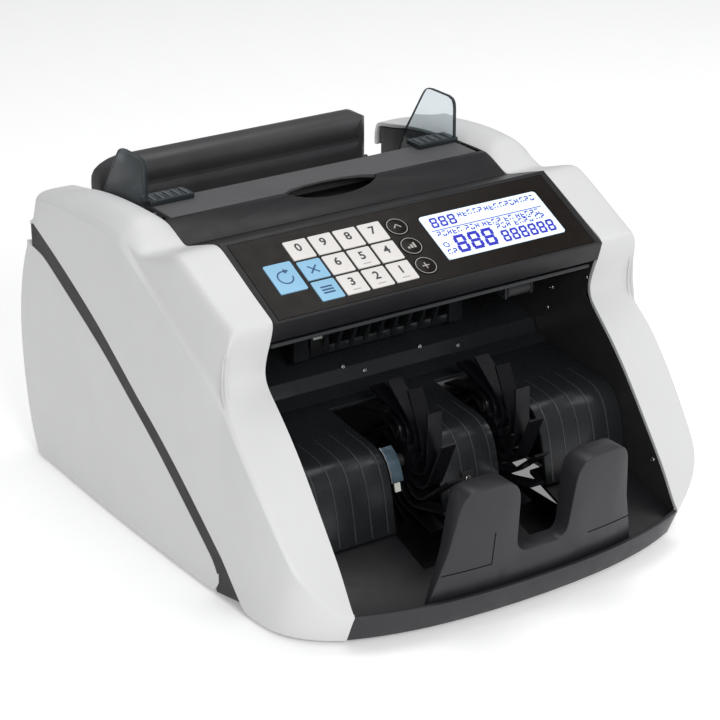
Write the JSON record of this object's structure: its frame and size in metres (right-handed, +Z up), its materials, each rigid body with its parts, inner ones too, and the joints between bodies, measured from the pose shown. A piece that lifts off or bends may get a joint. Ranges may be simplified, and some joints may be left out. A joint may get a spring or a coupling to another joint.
{
  "type": "banknote counting machine",
  "caption": "Desktop banknote counter with an open rear hopper, sloped key and display console, paired stacker wheels and a notched stop plate in front.",
  "frame": {"origin": "middle of the footprint, at the bottom of the feet", "axes": "+Z up, -Y towards the stacker pocket where counted notes come out, +X towards the display side"},
  "size_m": [0.2972, 0.3611, 0.2195],
  "materials": {
    "white_shell": "satin moulded plastic",
    "black_plastic": "fine-textured moulding",
    "trim_grey": "fine-textured moulding",
    "gloss_panel": "glossy printed film",
    "lid_grey": "matt",
    "smoke_clear": "clear smoke-tinted moulding",
    "key_white": "matt",
    "key_blue": "matt",
    "screen": "lit panel behind a clear window",
    "rubber": "matt",
    "vane": "flexible moulding",
    "steel": "drawn bar and sheet",
    "painted_steel": "black powder coat",
    "board_green": "solder mask"
  },
  "bodies": {
    "machine": {"left_side_shell": "white_shell", "right_side_shell": "white_shell", "rear_housing": "white_shell", "base_tray": "black_plastic", "console_housing": "black_plastic", "comb_guide": "black_plastic", "front_cover": "black_plastic", "stacker_floor": "black_plastic", "stacker_back_plate": "black_plastic", "lower_guide": "black_plastic", "stop_plate": "black_plastic", "power_inlet": "black_plastic", "left_trim_strip": "trim_grey", "right_trim_strip": "trim_grey", "panel_overlay": "gloss_panel", "lcd_display": "screen", "main_belt": "rubber", "feed_belt": "rubber", "stacker_belt": "rubber", "left_front_foot": "rubber", "right_front_foot": "rubber", "left_rear_foot": "rubber", "right_rear_foot": "rubber", "drive_motor": "steel", "power_supply": "steel", "left_side_frame": "painted_steel", "right_side_frame": "painted_steel", "key_board": "board_green", "main_board": "board_green"},
    "hopper": {"hopper_frame": "black_plastic", "hopper_lid": "lid_grey"},
    "left_guide": {"left_note_guide": "smoke_clear"},
    "right_guide": {"right_note_guide": "smoke_clear"},
    "motor_rotor": {"motor_shaft": "steel"},
    "drive_shaft": {"drive_roller": "rubber", "drive_pulley": "black_plastic"},
    "feed_shaft": {"feed_roller": "rubber", "feed_pulley": "black_plastic"},
    "stacker": {"stacker_shaft": "steel", "stacker_pulley": "black_plastic", "left_stacker_wheel": "vane", "right_stacker_wheel": "vane"},
    "switch_rocker": {"power_switch": "black_plastic"},
    "adjuster": {"gap_adjuster": "trim_grey"},
    "batch_key": {"key_batch": "key_blue"},
    "3_key": {"key_3": "key_white"},
    "2_key": {"key_2": "key_white"},
    "1_key": {"key_1": "key_white"},
    "clear_key": {"key_clear": "key_blue"},
    "6_key": {"key_6": "key_white"},
    "5_key": {"key_5": "key_white"},
    "4_key": {"key_4": "key_white"},
    "0_key": {"key_0": "key_white"},
    "9_key": {"key_9": "key_white"},
    "8_key": {"key_8": "key_white"},
    "7_key": {"key_7": "key_white"},
    "restart_key": {"key_restart": "key_blue"},
    "add_key": {"key_add": "gloss_panel"},
    "mode_key": {"key_mode": "gloss_panel"},
    "report_key": {"key_report": "gloss_panel"}
  },
  "joints": [
    {"name": "hopper_hinge", "type": "hinge", "parent": "machine", "child": "hopper", "pos_m": [0, 0.1515, 0.15], "axis": [-1, 0, 0], "range_deg": [0, 50]},
    {"name": "left_guide_slide", "type": "slide", "parent": "hopper", "child": "left_guide", "axis": [1, 0, 0], "range_m": [0, 0.045]},
    {"name": "right_guide_slide", "type": "slide", "parent": "hopper", "child": "right_guide", "axis": [-1, 0, 0], "range_m": [0, 0.045]},
    {"name": "motor_spin", "type": "hinge", "parent": "machine", "child": "motor_rotor", "pos_m": [0.1, 0.0355, 0.061], "axis": [1, 0, 0], "continuous": true},
    {"name": "drive_spin", "type": "hinge", "parent": "machine", "child": "drive_shaft", "pos_m": [0, 0.0595, 0.121], "axis": [1, 0, 0], "continuous": true},
    {"name": "feed_spin", "type": "hinge", "parent": "machine", "child": "feed_shaft", "pos_m": [0, 0.0875, 0.123], "axis": [1, 0, 0], "continuous": true},
    {"name": "stacker_spin", "type": "hinge", "parent": "machine", "child": "stacker", "pos_m": [0, -0.0865, 0.067], "axis": [1, 0, 0], "continuous": true},
    {"name": "switch_rock", "type": "hinge", "parent": "machine", "child": "switch_rocker", "pos_m": [0.112, 0.174, 0.041], "axis": [1, 0, 0], "range_deg": [0, 18]},
    {"name": "adjuster_turn", "type": "hinge", "parent": "machine", "child": "adjuster", "pos_m": [0.069, -0.0545, 0.14], "axis": [1, 0, 0], "range_deg": [-180, 180]},
    {"name": "batch_press", "type": "slide", "parent": "machine", "child": "batch_key", "axis": [0, 0.4429, -0.8966], "range_m": [0, 0.0006], "stiffness_N_per_m": 1500},
    {"name": "3_press", "type": "slide", "parent": "machine", "child": "3_key", "axis": [0, 0.4429, -0.8966], "range_m": [0, 0.0006], "stiffness_N_per_m": 1500},
    {"name": "2_press", "type": "slide", "parent": "machine", "child": "2_key", "axis": [0, 0.4429, -0.8966], "range_m": [0, 0.0006], "stiffness_N_per_m": 1500},
    {"name": "1_press", "type": "slide", "parent": "machine", "child": "1_key", "axis": [0, 0.4429, -0.8966], "range_m": [0, 0.0006], "stiffness_N_per_m": 1500},
    {"name": "clear_press", "type": "slide", "parent": "machine", "child": "clear_key", "axis": [0, 0.4429, -0.8966], "range_m": [0, 0.0006], "stiffness_N_per_m": 1500},
    {"name": "6_press", "type": "slide", "parent": "machine", "child": "6_key", "axis": [0, 0.4429, -0.8966], "range_m": [0, 0.0006], "stiffness_N_per_m": 1500},
    {"name": "5_press", "type": "slide", "parent": "machine", "child": "5_key", "axis": [0, 0.4429, -0.8966], "range_m": [0, 0.0006], "stiffness_N_per_m": 1500},
    {"name": "4_press", "type": "slide", "parent": "machine", "child": "4_key", "axis": [0, 0.4429, -0.8966], "range_m": [0, 0.0006], "stiffness_N_per_m": 1500},
    {"name": "0_press", "type": "slide", "parent": "machine", "child": "0_key", "axis": [0, 0.4429, -0.8966], "range_m": [0, 0.0006], "stiffness_N_per_m": 1500},
    {"name": "9_press", "type": "slide", "parent": "machine", "child": "9_key", "axis": [0, 0.4429, -0.8966], "range_m": [0, 0.0006], "stiffness_N_per_m": 1500},
    {"name": "8_press", "type": "slide", "parent": "machine", "child": "8_key", "axis": [0, 0.4429, -0.8966], "range_m": [0, 0.0006], "stiffness_N_per_m": 1500},
    {"name": "7_press", "type": "slide", "parent": "machine", "child": "7_key", "axis": [0, 0.4429, -0.8966], "range_m": [0, 0.0006], "stiffness_N_per_m": 1500},
    {"name": "restart_press", "type": "slide", "parent": "machine", "child": "restart_key", "axis": [0, 0.4429, -0.8966], "range_m": [0, 0.0006], "stiffness_N_per_m": 1500},
    {"name": "add_press", "type": "slide", "parent": "machine", "child": "add_key", "axis": [0, 0.4429, -0.8966], "range_m": [0, 0.0006], "stiffness_N_per_m": 1500},
    {"name": "mode_press", "type": "slide", "parent": "machine", "child": "mode_key", "axis": [0, 0.4429, -0.8966], "range_m": [0, 0.0006], "stiffness_N_per_m": 1500},
    {"name": "report_press", "type": "slide", "parent": "machine", "child": "report_key", "axis": [0, 0.4429, -0.8966], "range_m": [0, 0.0006], "stiffness_N_per_m": 1500}
  ],
  "couplings": [
    {"joint": "drive_spin", "follows": "motor_spin", "ratio": 0.75},
    {"joint": "feed_spin", "follows": "motor_spin", "ratio": 0.9},
    {"joint": "stacker_spin", "follows": "motor_spin", "ratio": 0.5}
  ]
}
